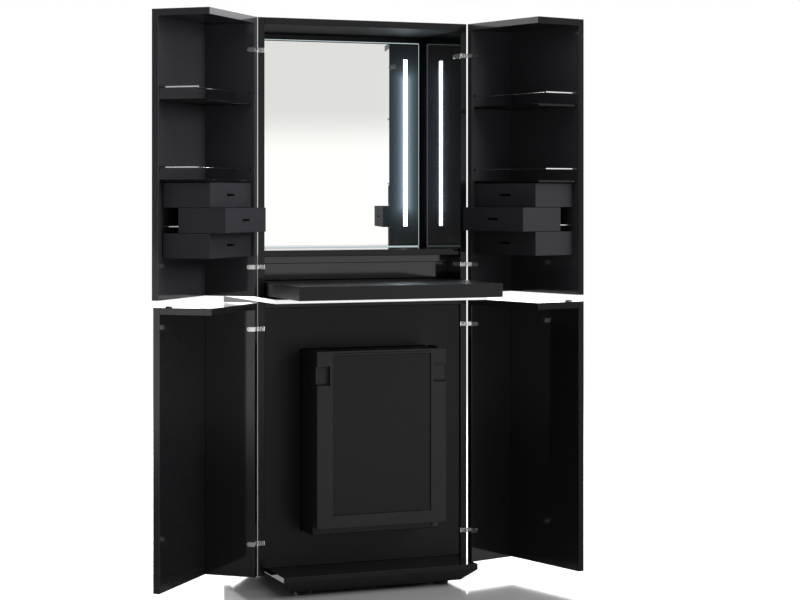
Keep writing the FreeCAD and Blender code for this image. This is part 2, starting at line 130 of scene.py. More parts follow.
def pick(piece, kind, test):
    """Goes to edit mode with only the items that pass a test selected."""
    only(piece)
    bpy.ops.object.mode_set(mode="EDIT")
    bpy.context.tool_settings.mesh_select_mode = PICK_MODES[kind]
    bpy.ops.mesh.select_all(action="DESELECT")
    object_mode()
    for item in getattr(piece.data, kind):
        item.select = test(item)
    bpy.ops.object.mode_set(mode="EDIT")


def pick_all(piece):
    pick(piece, "vertices", lambda point: True)


def place(piece):
    """Moves a piece's place and turn into its mesh, as the CAD nodes have it."""
    only(piece)
    bpy.ops.object.transform_apply(location=True, rotation=True, scale=True)


def turn(piece, pivot, angle):
    """Turns a piece about an upright line. Without a window the sign is reversed."""
    only(piece)
    bpy.ops.transform.rotate(value=-angle, orient_axis="Z", center_override=pivot)
    place(piece)


# %% [markdown]
# Every piece starts from the size of the CAD solid that it stands for, read with its
# door swung shut. A copy of the node is turned back, its loose triangles are merged,
# and each solid is separated to be measured. So no size is written twice.

# %% Measuring the CAD solids
SAME_POINT = 1e-6


def corners(points):
    """Lowest and highest corner of some points."""
    low = Vector(min(point[axis] for point in points) for axis in range(3))
    high = Vector(max(point[axis] for point in points) for axis in range(3))
    return low, high


def solids(node):
    """Corners of each solid of a node, lowest first, with its door swung shut."""
    copy = bpy.data.objects.new("measured", nodes[node].data.copy())
    bpy.context.scene.collection.objects.link(copy)
    door = door_of(nodes[node]["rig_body"])
    if door:
        pivot, angle = hinges[door]
        turn(copy, pivot, -angle)
    pick_all(copy)
    bpy.ops.mesh.remove_doubles(threshold=SAME_POINT)
    bpy.ops.mesh.separate(type="LOOSE")
    object_mode()
    parts = list(bpy.context.selected_objects)
    found = [corners([point.co for point in part.data.vertices]) for part in parts]
    for part in parts:
        bpy.data.objects.remove(part)
    return sorted(found, key=lambda pair: (round(pair[0].z, 4), round(pair[0].x, 4), pair[0].y))


def solid(node):
    """Corners of a node that is a single solid."""
    return solids(node)[0]


print("shelf slab", [tuple(corner) for corner in solid("pull_out_shelf")])

# %% [markdown]
# A finish is a small network of shader nodes. Written out link by link it is hard to
# read, so one class wraps a socket: sums of wrapped sockets add their own Math nodes,
# and one method adds any other node with its settings and its inputs.

# %% Sums of sockets
class Wire:
    """A node socket that takes part in sums."""

    def __init__(self, tree, socket):
        self.tree = tree
        self.socket = socket

    @staticmethod
    def plug(tree, socket, value):
        """Links a wire to a socket, or sets the value that is the same all over."""
        if isinstance(value, Wire):
            tree.links.new(value.socket, socket)
        else:
            socket.default_value = value

    def node(self, kind, settings=None, inputs=None, out=0):
        """Adds a node: its settings first, then the values or links of its sockets."""
        made = self.tree.nodes.new(kind)
        for name, value in (settings or {}).items():
            setattr(made, name, value)
        for name, value in (inputs or {}).items():
            self.plug(self.tree, made.inputs[name], value)
        return Wire(self.tree, made.outputs[out])

    def math(self, operation, first, second=0.0):
        return self.node("ShaderNodeMath", {"operation": operation}, {0: first, 1: second})

    def __add__(self, other):
        return self.math("ADD", self, other)

    def __sub__(self, other):
        return self.math("SUBTRACT", self, other)

    def __rsub__(self, other):
        return self.math("SUBTRACT", other, self)

    def __mul__(self, other):
        return self.math("MULTIPLY", self, other)

    __radd__ = __add__
    __rmul__ = __mul__

    def axis(self, name):
        """One coordinate of a vector."""
        return self.node("ShaderNodeSeparateXYZ", None, {"Vector": self}, out=name)


# %% [markdown]
# The finishes share a few patterns. A cloud is plain noise, streaks are noise stretched
# along one direction, and a mask keeps only the high part of a pattern. All read Object
# coordinates in metres, so a scale of 500 means details of about two millimetres. Colours
# come together in a Mix node, whose sockets for colours are known by their numbers.

# %% Patterns
MIX_FACTOR, MIX_FIRST, MIX_SECOND, MIXED = 0, 6, 7, 2
finishes = {}


def start_finish(slot):
    """A new material for one of the record's slots: its shader and its coordinates."""
    material = bpy.data.materials.new(slot)
    material.use_nodes = True
    finishes[slot] = material
    tree = material.node_tree
    shader = tree.nodes["Principled BSDF"]
    coordinates = tree.nodes.new("ShaderNodeTexCoord")
    return shader, Wire(tree, coordinates.outputs["Object"])


def cloud(at, scale, detail=3.0, rough=0.5):
    settings = {"Vector": at, "Scale": scale, "Detail": detail, "Roughness": rough}
    return at.node("ShaderNodeTexNoise", None, settings)


def streaks(at, stretch, detail=2.0):
    """Noise with its own scale along X, Y and Z."""
    stretched = at.node("ShaderNodeMapping", None, {"Vector": at, "Scale": stretch})
    return cloud(stretched, 1.0, detail)


def mask(pattern, start, end):
    """Zero below the start, one above the end, smooth between."""
    settings = {"interpolation_type": "SMOOTHSTEP"}
    inputs = {"Value": pattern, "From Min": start, "From Max": end}
    return pattern.node("ShaderNodeMapRange", settings, inputs)


def facing(at):
    """The direction in which the surface looks."""
    return at.node("ShaderNodeTexCoord", out="Normal")


def mix(at, kind, factor, first, second):
    settings = {"data_type": "RGBA", "blend_type": kind}
    inputs = {MIX_FACTOR: factor, MIX_FIRST: first, MIX_SECOND: second}
    return at.node("ShaderNodeMix", settings, inputs, out=MIXED)


def blend(factor, *colours):
    """A colour between two others, which may vary themselves."""
    first, second = (colour if isinstance(colour, Wire) else (*colour, 1.0) for colour in colours)
    return mix(factor, "MIX", factor, first, second)


def relief(height, strength, depth):
    """A surface that rises and falls with a pattern."""
    inputs = {"Height": height, "Strength": strength, "Distance": depth}
    return height.node("ShaderNodeBump", None, inputs)


def give(shader, **values):
    """Sets or links the shader's sockets, with underscores for the spaces in their names."""
    tree = shader.id_data
    for name, value in values.items():
        Wire.plug(tree, shader.inputs[name.replace("_", " ")], value)
    print("finish", tree.name, sorted(values))


# %% [markdown]
# Piano lacquer is nearly black and very smooth, so what one sees is mostly reflections.
# A real sprayed panel is not a perfect mirror: it has a faint ripple, a slow change of
# depth, and wiped patches that are a little duller. Those three make up this finish. The
# undersides are sprayed but not polished, so they are hazy.

# %% Black lacquer
DOWNWARD = (0.5, 0.9)
HAZE = 0.6
shader, at = start_finish("black_lacquer")
wiped = mask(cloud(at, 9.0, 5.0, 0.6), 0.48, 0.72)
below = mask(0.0 - facing(at).axis("Z"), *DOWNWARD)
give(
    shader,
    Base_Color=blend(cloud(at, 2.5), (0.0062, 0.0062, 0.0070), (0.0105, 0.0104, 0.0118)),
    Roughness=0.045 + 0.03 * wiped + 0.012 * cloud(at, 60.0) + HAZE * below,
    Normal=relief(cloud(at, 170.0, 1.0), 0.002, 0.0006),
    Specular_IOR_Level=0.18,
)

# %% [markdown]
# The doors and the panel behind the slab mirror the room more clearly than the carcass:
# in a door's corner one panel shows the other. A soft black paint has a clear coat on top
# that is polished out. Inside the upper doors light is painted in, with a violet cast:
# faces that look forward, beside the carcass and in the upper half, take a paler colour
# as painted light, with less coat. Side panels look most straight ahead, and get the
# palest painted light. The free ends of all doors look ahead too, but they stay plain and have no coat.

# %% Polished lacquer
INSIDE_FACING = (0.1, 0.2)
SIDE_FACING = (0.68, 0.74)
END_AHEAD = 0.1
MASK_EDGE = 0.002
INSIDE_COAT_LOSS = 0.6
shader, at = start_finish("gloss_black")
forward = 0.0 - facing(at).axis("Y")
plate_low, plate_high = solid("mid_plate")
half_width = (plate_high.x - plate_low.x) / 2
off_middle = at.math("ABSOLUTE", at.axis("X") - (plate_low.x + half_width))
beside = mask(off_middle, half_width, half_width + MASK_EDGE)
upper = mask(at.axis("Z"), plate_low.z, plate_low.z + MASK_EDGE)
on_side = mask(forward, *SIDE_FACING)
ends = on_side * mask(plate_low.y - at.axis("Y"), END_AHEAD, END_AHEAD + MASK_EDGE)
# The inner faces of the upper doors, where light is painted in.
inside = mask(forward, *INSIDE_FACING) * beside * upper * (1.0 - ends)
plain = blend(cloud(at, 3.0), (0.0070, 0.0069, 0.0078), (0.0105, 0.0104, 0.0118))
# Painted light: paler colours that stand in for light on those faces, palest on the side panels.
front_painted_light = blend(cloud(at, 3.0), (0.032, 0.031, 0.036), (0.044, 0.043, 0.049))
side_painted_light = blend(cloud(at, 3.0), (0.044, 0.043, 0.050), (0.058, 0.056, 0.065))
painted_light_colour = blend(on_side, front_painted_light, side_painted_light)
coat = 0.95 - 0.1 * mask(cloud(at, 11.0, 5.0), 0.5, 0.75)
give(
    shader,
    Base_Color=blend(inside, plain, painted_light_colour),
    Roughness=0.42 + 0.08 * cloud(at, 14.0, 4.0),
    Specular_IOR_Level=0.08,
    Coat_Weight=coat * (1.0 - INSIDE_COAT_LOSS * inside) * (1.0 - ends),
    Coat_Roughness=0.07,
)

# %% [markdown]
# The slab, the filler panel around the minibar and the boards behind are satin: the same
# black with a fine spray grain that scatters the light. Grain is a bump, colour stays close.

# %% Satin black
shader, at = start_finish("satin_black")
give(
    shader,
    Base_Color=blend(cloud(at, 4.0), (0.0080, 0.0080, 0.0090), (0.0130, 0.0130, 0.0145)),
    Roughness=0.34 + 0.12 * cloud(at, 14.0, 4.0),
    Normal=relief(cloud(at, 1300.0, 2.0), 0.06, 0.0004),
    Specular_IOR_Level=0.22,
)

# %% [markdown]
# The drawers are paler than the rest, a charcoal with a violet cast, and they look
# softer. The photograph shows no grain, so it is a sprayed paint with a light texture.

# %% Drawer charcoal
shader, at = start_finish("drawer_black")
give(
    shader,
    Base_Color=blend(cloud(at, 6.0), (0.019, 0.0185, 0.0225), (0.028, 0.027, 0.032)),
    Roughness=0.56 + 0.1 * cloud(at, 22.0, 4.0),
    Normal=relief(cloud(at, 1500.0, 2.0), 0.08, 0.0004),
    Specular_IOR_Level=0.3,
)

# %% [markdown]
# Hinges, rails and runners are polished steel. Polishing leaves hair lines, so the
# roughness is streaked, and handling leaves a few duller patches.

# %% Bright steel
shader, at = start_finish("bright_steel")
hair = streaks(at, (900.0, 900.0, 90.0))
give(
    shader,
    Base_Color=blend(cloud(at, 40.0), (0.70, 0.70, 0.71), (0.84, 0.84, 0.84)),
    Roughness=0.15 + 0.05 * hair + 0.05 * mask(cloud(at, 70.0), 0.5, 0.7),
    Normal=relief(hair, 0.006, 0.0002),
    Metallic=1.0,
)

# %% [markdown]
# The plate between the two halves is aluminium, brushed along the cabinet's width. Only
# its edge shows, as a thin bright line under the slab.

# %% Polished aluminium
shader, at = start_finish("polished_aluminium")
brushed = streaks(at, (14.0, 1600.0, 1600.0))
give(
    shader,
    Base_Color=blend(brushed, (0.76, 0.76, 0.77), (0.90, 0.90, 0.90)),
    Roughness=0.16 + 0.16 * brushed,
    Normal=relief(brushed, 0.05, 0.0002),
    Metallic=1.0,
)

# %% [markdown]
# A mirror is glass with silver behind it. Its face is a metal in shader terms, and its
# ground edge is plain glass, so the direction of the surface decides between the two. The
# lamp sends light through the glass, so the edge glows, and so does the glass close to the
# strip. That glow falls off with the square of the distance, and it tapers to the ends.

# %% Mirror glass
GLOW_REACH = 0.012
GLOW_TAPER = 0.06
FACE_AHEAD = (0.90, 0.97)
shader, at = start_finish("mirror_glass")
silver = mask(0.0 - facing(at).axis("Y"), *FACE_AHEAD)
film = mask(cloud(at, 7.0, 5.0), 0.5, 0.8)
strip_low, strip_high = solid("light_strip")
strip_middle = (strip_low + strip_high) / 2
straight_part = (strip_high.z - strip_low.z) / 2 - GLOW_TAPER
aside = at.axis("X") - strip_middle.x
beyond = at.math("MAXIMUM", at.math("ABSOLUTE", at.axis("Z") - strip_middle.z) - straight_part, 0.0)
squares = (aside * aside + beyond * beyond) * (1.0 / GLOW_REACH ** 2)
halo = at.math("DIVIDE", 1.0, 1.0 + squares)
edge_glow = blend(silver, (0.50, 0.60, 0.62), (0.0, 0.0, 0.0))
face_glow = blend(halo, (0.0, 0.0, 0.0), (0.40, 0.57, 0.68))
give(
    shader,
    Base_Color=blend(silver, (0.20, 0.36, 0.32), (0.735, 0.735, 0.715)),
    Metallic=silver,
    Roughness=0.012 + 0.02 * film + 0.18 * (1.0 - silver),
    Emission_Color=mix(at, "ADD", 1.0, edge_glow, face_glow),
    Emission_Strength=1.0,
)

# %% [markdown]
# The light strip is an etched band that glows, a cool white. The glow is a little uneven,
# as light tape behind a cover is, and it is weaker at the rim, where no lamp is behind.

# %% Light strip
LAMP_RIM = 0.0035
LAMP_POWER = 34.0
shader, at = start_finish("lamp_light")
spots = cloud(at, 26.0, 2.0)
to_rim = (strip_high.x - strip_low.x) / 2 - at.math("ABSOLUTE", at.axis("X") - strip_middle.x)
lamp_white = blend(spots, (0.70, 0.87, 1.0), (0.80, 0.93, 1.0))
give(
    shader,
    Base_Color=blend(spots, (0.86, 0.88, 0.90), (0.93, 0.95, 0.97)),
    Emission_Color=blend(mask(to_rim, 0.0, LAMP_RIM), (0.030, 0.035, 0.040), lamp_white),
    Roughness=0.4 + 0.1 * spots,
    Emission_Strength=LAMP_POWER,
)

# %% [markdown]
# Feet, guides and catches are moulded black plastic with a fine spark-eroded grain.
# The seal is rubber: the same idea, duller, with softer and larger marks.

# %% Black plastic and rubber
shader, at = start_finish("black_plastic")
give(
    shader,
    Base_Color=blend(cloud(at, 50.0), (0.012, 0.012, 0.013), (0.020, 0.020, 0.021)),
    Roughness=0.46 + 0.14 * cloud(at, 90.0),
    Normal=relief(cloud(at, 2200.0, 2.0), 0.15, 0.0003),
)
shader, at = start_finish("seal_rubber")
give(
    shader,
    Base_Color=blend(cloud(at, 25.0), (0.014, 0.014, 0.014), (0.026, 0.026, 0.025)),
    Roughness=0.68 + 0.14 * cloud(at, 60.0),
    Normal=relief(cloud(at, 800.0, 2.0), 0.1, 0.0003),
)

# %% [markdown]
# The minibar has three blacks. Its case and posts are smooth moulded plastic with a warm
# tone, its door panel has a pebbled texture of small cells, and its hinge brackets are
# powder-coated steel. Cell texture is what Voronoi noise gives.

# %% Minibar blacks
shader, at = start_finish("fridge_black")
give(
    shader,
    Base_Color=blend(cloud(at, 8.0), (0.0125, 0.0118, 0.0118), (0.0170, 0.0160, 0.0160)),
    Roughness=0.40 + 0.1 * cloud(at, 40.0, 4.0),
    Normal=relief(cloud(at, 1800.0, 2.0), 0.1, 0.0003),
    Specular_IOR_Level=0.3,
)
shader, at = start_finish("fridge_face")
pebble = at.node("ShaderNodeTexVoronoi", {"feature": "F1"}, {"Vector": at, "Scale": 420.0})
give(
    shader,
    Base_Color=blend(pebble, (0.0105, 0.0098, 0.0100), (0.0065, 0.0060, 0.0062)),
    Roughness=0.46 + 0.16 * pebble,
    Normal=relief(1.0 - pebble, 0.3, 0.0005),
    Specular_IOR_Level=0.28,
)
shader, at = start_finish("black_steel")
give(
    shader,
    Base_Color=blend(cloud(at, 60.0), (0.014, 0.014, 0.014), (0.022, 0.022, 0.022)),
    Roughness=0.42 + 0.12 * cloud(at, 120.0),
    Normal=relief(cloud(at, 1600.0, 2.0), 0.2, 0.0003),
)

# %% [markdown]
# Inside the minibar the liner is pale grey plastic and its shelf is tempered glass with
# a slight green. Glass needs transmission, which is the same all over, so it is set on
# the socket. Its tint changes slowly, and its roughness carries faint wipe marks.

# %% Liner and glass
shader, at = start_finish("fridge_liner")
give(
    shader,
    Base_Color=blend(cloud(at, 5.0), (0.50, 0.52, 0.53), (0.58, 0.60, 0.61)),
    Roughness=0.36 + 0.1 * cloud(at, 30.0),
    Normal=relief(cloud(at, 900.0, 2.0), 0.06, 0.0003),
)
shader, at = start_finish("fridge_glass")
give(
    shader,
    Base_Color=blend(cloud(at, 6.0), (0.78, 0.90, 0.86), (0.88, 0.96, 0.93)),
    Roughness=0.01 + 0.03 * mask(cloud(at, 12.0, 4.0), 0.5, 0.8),
    Transmission_Weight=1.0,
    IOR=1.5,
)

# %% [markdown]
# A finished piece has its edges eased, swings open with its door, takes the finish of
# its slot, and rides on the body of the node that it stands for. Real boards never have
# knife edges, and the thin highlight along an eased edge is what tells one board from
# the next on a black cabinet. A Bevel modifier eases the edges, and weighted normals
# keep the broad faces flat. Where an edge is too short to ease, the bevel leaves points on
# top of each other, so those are merged.

# %% Finishing a piece
BOARD_EDGE = 0.0011
EASED_STEPS = 3
SHARP = radians(35)
NO_SIZE = 2e-6


def apply_modifier(piece, kind, **settings):
    only(piece)
    modifier = piece.modifiers.new(kind.lower(), kind)
    for name, value in settings.items():
        setattr(modifier, name, value)
    bpy.ops.object.modifier_apply(modifier=modifier.name)


def ease(piece, width, steps=EASED_STEPS):
    """Rounds the sharp edges of a piece."""
    apply_modifier(
        piece, "BEVEL", width=width, segments=steps, limit_method="ANGLE", angle_limit=SHARP
    )


def clean(piece):
    """Removes edges and faces that were left without any size."""
    pick_all(piece)
    bpy.ops.mesh.remove_doubles(threshold=NO_SIZE)
    bpy.ops.mesh.dissolve_degenerate(threshold=NO_SIZE)
    object_mode()


def smooth(piece):
    """Smooth shading that keeps flat faces flat."""
    only(piece)
    bpy.ops.object.shade_smooth_by_angle(angle=SHARP)
    apply_modifier(piece, "WEIGHTED_NORMAL", keep_sharp=True)


def dress(piece, slot, body):
    """Swings a piece open with its door, and gives it its finish and its body."""
    door = door_of(body)
    if door:
        turn(piece, *hinges[door])
    smooth(piece)
    piece.data.materials.clear()
    piece.data.materials.append(finishes[slot])
    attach(piece, body)
    print("piece", piece.name, len(piece.data.polygons), "faces on", body)


def settle(piece, node, edge=BOARD_EDGE):
    """Eases and dresses a piece that stands for a node."""
    place(piece)
    if edge:
        ease(piece, edge)
    clean(piece)
    dress(piece, slot_of[node], nodes[node]["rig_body"])
    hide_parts(node)


# %% [markdown]
# Most of the cabinet is boards. A board is a cube primitive stretched between two
# corners, then eased. The same few lines make the carcass, the doors, the counter, the
# slab that slides out, the metal plate under it and the base.

# %% Boards
def named(piece, name):
    piece.name = piece.data.name = name
    return piece


def block(name, low, high):
    """A cube primitive stretched between two corners."""
    bpy.ops.object.select_all(action="DESELECT")
    bpy.ops.mesh.primitive_cube_add(size=1.0, location=(low + high) / 2, scale=high - low)
    piece = named(bpy.context.object, name)
    place(piece)
    return piece


def rod(name, start, end, radius, sides=24):
    """A cylinder primitive between two points."""
    run = end - start
    bpy.ops.object.select_all(action="DESELECT")
    bpy.ops.mesh.primitive_cylinder_add(
        vertices=sides, radius=radius, depth=run.length, location=(start + end) / 2,
        rotation=run.to_track_quat("Z", "Y").to_euler(),
    )
    piece = named(bpy.context.object, name)
    place(piece)
    return piece


def carve(piece, cutter):
    """Takes one shape away from another."""
    apply_modifier(piece, "BOOLEAN", operation="DIFFERENCE", solver="EXACT", object=cutter)
    bpy.data.objects.remove(cutter)


def join(name, pieces):
    """Several meshes in one piece."""
    bpy.ops.object.select_all(action="DESELECT")
    for piece in pieces:
        piece.select_set(True)
    bpy.context.view_layer.objects.active = pieces[0]
    if len(pieces) > 1:
        bpy.ops.object.join()
    return named(bpy.context.object, name)


def board(node, edge=BOARD_EDGE):
    """An eased block for each solid of a node, in one piece."""
    blocks = [block(node, low, high) for low, high in solids(node)]
    settle(join(node + "_board", blocks), node, edge=edge)


SLAB_EDGE = 0.0016
PLATE_EDGE = 0.0008
SMALL_EDGE = 0.0007
LEAF_EDGE = 0.0003
carcass_boards = [
    "upper_left_side", "upper_right_side", "upper_top", "upper_back", "counter",
    "lower_left_side", "lower_right_side", "lower_top", "lower_back", "fridge_support",
]
for node in carcass_boards:
    board(node)
for door in hinges:
    for panel in ("front", "side", "top"):
        board(f"{door}_{panel}")
board("pull_out_shelf", SLAB_EDGE)
board("base_plate", SLAB_EDGE)
board("mid_plate", PLATE_EDGE)
for node in ("upper_left_door_shelves", "upper_right_door_shelves"):
    board(node, PLATE_EDGE)
for node in ("shelf_guides", "door_catches", "lower_left_door_keeper", "lower_right_door_keeper"):
    board(node, SMALL_EDGE)

# %% [markdown]
# The board around the minibar is a board with a window. It is cut along four lines with
# bisect, which leaves a face of the right size at the front and at the back. Bridging
# those two faces opens the window and gives it its four walls.

# %% Window board
FACE_TEST = 0.9
X, Y, Z = range(3)
FRONT_AXES = (X, Z)


def cut_across(piece, axis, where):
    """Cuts a whole piece along a plane across one axis, and keeps both sides."""
    normal = Vector((0, 0, 0))
    normal[axis] = 1.0
    pick_all(piece)
    bpy.ops.mesh.bisect(plane_co=normal * where, plane_no=normal)
    object_mode()


def cut_frame(piece, low, high):
    """Cuts a piece along the sides of a rectangle that is seen from the front."""
    for axis in FRONT_AXES:
        for corner in (low, high):
            cut_across(piece, axis, corner[axis])


def within(face, low, high):
    """Whether a face lies in such a rectangle."""
    return all(low[axis] < face.center[axis] < high[axis] for axis in FRONT_AXES)


def open_window(piece, low, high):
    """Opens a rectangular window from front to back."""
    cut_frame(piece, low, high)
    pick(piece, "polygons", lambda face: within(face, low, high) and abs(face.normal.y) > FACE_TEST)
    bpy.ops.mesh.bridge_edge_loops()
    bpy.ops.mesh.select_all(action="SELECT")
    bpy.ops.mesh.normals_make_consistent(inside=False)
    object_mode()


FIT = Vector((0.002, 0.0, 0.002))
shell_low, shell_high = solid("fridge_shell")
window_board = block("filler_board", *solid("filler_panel"))
open_window(window_board, shell_low - FIT, shell_high + FIT)
settle(window_board, "filler_panel")

# %% [markdown]
# Under the counter the slab's recess has a back with a lip along its top. It is a board
# that is cut across below the lip, and the upper part of its front is pulled out.

# %% Recess back
LIP_DEPTH = 0.015
LIP_HEIGHT = 0.021


def pull(x=0.0, y=0.0, z=0.0):
    """Pulls the picked faces out, with new walls behind them."""
    bpy.ops.mesh.extrude_region_move(TRANSFORM_OT_translate={"value": (x, y, z)})


low, high = solid("recess_back")
recess = block("recess_board", low + Vector((0, LIP_DEPTH, 0)), high)
lip_bottom = high.z - LIP_HEIGHT
cut_across(recess, Z, lip_bottom)
pick(recess, "polygons", lambda face: face.normal.y < -FACE_TEST and face.center.z > lip_bottom)
pull(y=-LIP_DEPTH)
object_mode()
settle(recess, "recess_back")

# %% [markdown]
# The mirror is one sheet with a ground edge, a flat bevel with one step where the boards
# get three. A slot is opened in it for the light strip, an etched band of glass. Its
# carrier board has a groove behind the strip for the lamp, cut with a block that reaches
# a little past the board, so that no thin skin is left.

# %% Mirror and light strip
GROUND_EDGE = 0.0024
STRIP_EDGE = 0.0004
GROOVE_INSET = 0.0025
GROOVE_DEPTH = 0.018
PAST = 0.002
mirror = block("mirror_sheet", *solid("mirror"))
ease(mirror, GROUND_EDGE, steps=1)
open_window(mirror, strip_low, strip_high)
settle(mirror, "mirror", edge=None)
settle(block("light_cover", strip_low, strip_high), "light_strip", edge=STRIP_EDGE)
low, high = solid("mirror_carrier")
carrier = block("mirror_board", low, high)
groove_low = Vector((strip_low.x + GROOVE_INSET, low.y - PAST, low.z - PAST))
groove_high = Vector((strip_high.x - GROOVE_INSET, low.y + GROOVE_DEPTH, high.z + PAST))
carve(carrier, block("groove", groove_low, groove_high))
settle(carrier, "mirror_carrier")

# %% [markdown]
# A hinge leaf is a bent strip of steel let into the board: one wing on the board's edge,
# one on its inner face with a round end, and a knuckle outside. It starts as the inner
# wing. Its end is rounded by bevelling two edges, nearly until the rounds meet. A strip
# is cut off with bisect at the other end, and the side of that strip is pulled out to
# make the second wing.

# %% Hinge leaves
LEAF = 0.0024
KNUCKLE_GAP = 0.00015
PROUD = 0.00025
ROUND_STEPS = 8
SCREW = 0.0032
SCREW_SINK = 0.0005
SCREW_SLOT = 0.0006
SLOT_REACH = 0.75
FULL_ROUND = 0.98
LONG_WING = 0.040
wall_left = solid("upper_left_side")[0]
wall_right = solid("upper_right_side")[1]
door_rear = solid("upper_left_door_side")[1].y


def along(piece, edge, axis):
    """Whether an edge runs along an axis."""
    start, end = (piece.data.vertices[index].co for index in edge.vertices)
    return abs((end - start).normalized()[axis]) > FACE_TEST


def middle(piece, edge):
    start, end = (piece.data.vertices[index].co for index in edge.vertices)
    return (start + end) / 2


def screw_head(at, outward):
    """A flat screw head with a straight slot, on a wing that faces along X."""
    top = at + Vector((outward * SCREW_SINK, 0, 0))
    head = rod("screw", at, top, SCREW)
    groove = Vector((SCREW_SINK, SCREW * SLOT_REACH, SCREW_SLOT / 2))
    carve(head, block("slot", top - groove, top + groove))
    return head


def hinge_leaf(low, high, pivot, face_y, toward_door):
    """One leaf, from the corners of its CAD solid and the plane of the board's edge."""
    on_left = pivot.x < wall_left.x
    out = -1.0 if on_left else 1.0
    inner = high.x if on_left else low.x
    knuckle = pivot.x - low.x if on_left else high.x - pivot.x
    board_edge = wall_left.x if on_left else wall_right.x
    deep = -1.0 if toward_door else 1.0
    tip_y = low.y if toward_door else high.y
    skin = inner - out * PROUD
    back = inner + out * LEAF
    wing_x = sorted((skin, back))
    wing_y = sorted((face_y, tip_y))
    leaf = block("leaf", Vector((wing_x[0], wing_y[0], low.z)), Vector((wing_x[1], wing_y[1], high.z)))
    round_end = (high.z - low.z) / 2
    pick(leaf, "edges", lambda edge: along(leaf, edge, X) and abs(middle(leaf, edge).y - tip_y) < PROUD)
    bpy.ops.mesh.bevel(offset=round_end * FULL_ROUND, segments=ROUND_STEPS)
    object_mode()
    cut_across(leaf, Y, face_y + deep * LEAF)
    strip = face_y + deep * LEAF / 2
    is_strip = [abs(face.center.y - strip) < PROUD for face in leaf.data.polygons]
    pick(leaf, "polygons", lambda face: is_strip[face.index] and face.normal.x * out > FACE_TEST)
    pull(x=board_edge - back)
    object_mode()
    half = (low.z + high.z) / 2
    z = (half + KNUCKLE_GAP, high.z) if toward_door else (low.z, half - KNUCKLE_GAP)
    barrel = rod("barrel", Vector((pivot.x, pivot.y, z[0])), Vector((pivot.x, pivot.y, z[1])), knuckle)
    web_x = sorted((pivot.x, board_edge))
    web_y = sorted((pivot.y, face_y + deep * LEAF))
    web = block("web", Vector((web_x[0], web_y[0], z[0])), Vector((web_x[1], web_y[1], z[1])))
    reach = abs(tip_y - face_y) - round_end
    steps = (reach, reach / 2) if reach > LONG_WING else (reach,)
    screws = [screw_head(Vector((skin, face_y + deep * step, half)), -out) for step in steps]
    return [leaf, barrel, web] + screws


pivots = [pivot for pivot, swing in hinges.values()]
leaf_parts = []
for low, high in solids("hinge_carcass_leaves"):
    nearest = min(pivots, key=lambda pivot: abs(pivot.x - (low.x + high.x) / 2))
    leaf_parts += hinge_leaf(low, high, nearest, wall_left.y, toward_door=False)
settle(join("carcass_hinge_leaves", leaf_parts), "hinge_carcass_leaves", edge=LEAF_EDGE)
for door, (pivot, swing) in hinges.items():
    leaf_parts = []
    for low, high in solids(door + "_hinge_leaves"):
        leaf_parts += hinge_leaf(low, high, pivot, door_rear, toward_door=True)
    settle(join(door + "_leaves", leaf_parts), door + "_hinge_leaves", edge=LEAF_EDGE)

# %% [markdown]
# A gallery rail keeps the glasses on a door shelf. It is one bent rod: a circle is
# pulled along, spun a quarter turn round the corner and pulled along again. Spinning
# can turn a shape inside out, so its normals are made consistent at the end.

# %% Gallery rails
RAIL_BEND = 0.025
RAIL_SIDES = 20
BEND_STEPS = 10
SOCKET_LONG = 0.018
SOCKET_SHORT = 0.007
SOCKET_WALL = 0.0008


def rail_ends(low, high, free_end):
    """Radius of a bent rod, and its ends on the front panel and on the side panel."""
    radius = (high.z - low.z) / 2
    level = (low.z + high.z) / 2
    free_x = high.x - radius if free_end > 0 else low.x + radius
    held_x = low.x if free_end > 0 else high.x
    return radius, Vector((free_x, low.y, level)), Vector((held_x, high.y - radius, level))


def gallery_rail(radius, front_end, side_end, free_end):
    """A rod from the front panel, round the free corner, to the side panel."""
    bend_x = front_end.x - free_end * RAIL_BEND
    bend_y = side_end.y - RAIL_BEND
    bpy.ops.object.select_all(action="DESELECT")
    bpy.ops.mesh.primitive_circle_add(
        vertices=RAIL_SIDES, radius=radius, fill_type="NGON",
        location=front_end, rotation=(pi / 2, 0, 0),
    )
    rail = named(bpy.context.object, "rail")
    place(rail)
    pick_all(rail)
    bpy.ops.mesh.select_mode(type="FACE")
    pull(y=bend_y - front_end.y)
    bpy.ops.mesh.spin(
        steps=BEND_STEPS, angle=free_end * pi / 2, axis=(0, 0, 1),
        center=(bend_x, bend_y, front_end.z),
    )
    pull(x=side_end.x - bend_x)
    bpy.ops.mesh.select_all(action="SELECT")
    bpy.ops.mesh.remove_doubles(threshold=SAME_POINT)
    bpy.ops.mesh.normals_make_consistent(inside=False)
    object_mode()
    return rail


def sockets(name, door, ends):
    """Black sockets on the ends of rods. They are small, so the CAD model leaves them out."""
    piece = join(name, [rod("socket", start, end, radius) for start, end, radius in ends])
    ease(piece, LEAF_EDGE)
    dress(piece, "black_plastic", door)


for side, free_end in (("left", 1.0), ("right", -1.0)):
    node = f"upper_{side}_gallery_rails"
    rails = []
    ends = []
    for low, high in solids(node):
        radius, front_end, side_end = rail_ends(low, high, free_end)
        rails.append(gallery_rail(radius, front_end, side_end, free_end))
        wide = radius + SOCKET_WALL
        ends.append((front_end, front_end + Vector((0, SOCKET_LONG, 0)), wide))
        ends.append((side_end, side_end + Vector((free_end * SOCKET_SHORT, 0, 0)), wide))
    settle(join(f"{side}_gallery_rods", rails), node, edge=None)
    sockets(f"{side}_rail_sockets", f"upper_{side}_door", ends)

# %% [markdown]
# A drawer is a tray with a finger slot in its front. The tray is a block whose top face
# is inset and pushed down to the floor. The slot is cut with a block that has its short
# edges rounded, and two bores at the sides take the rods that the drawer runs on.

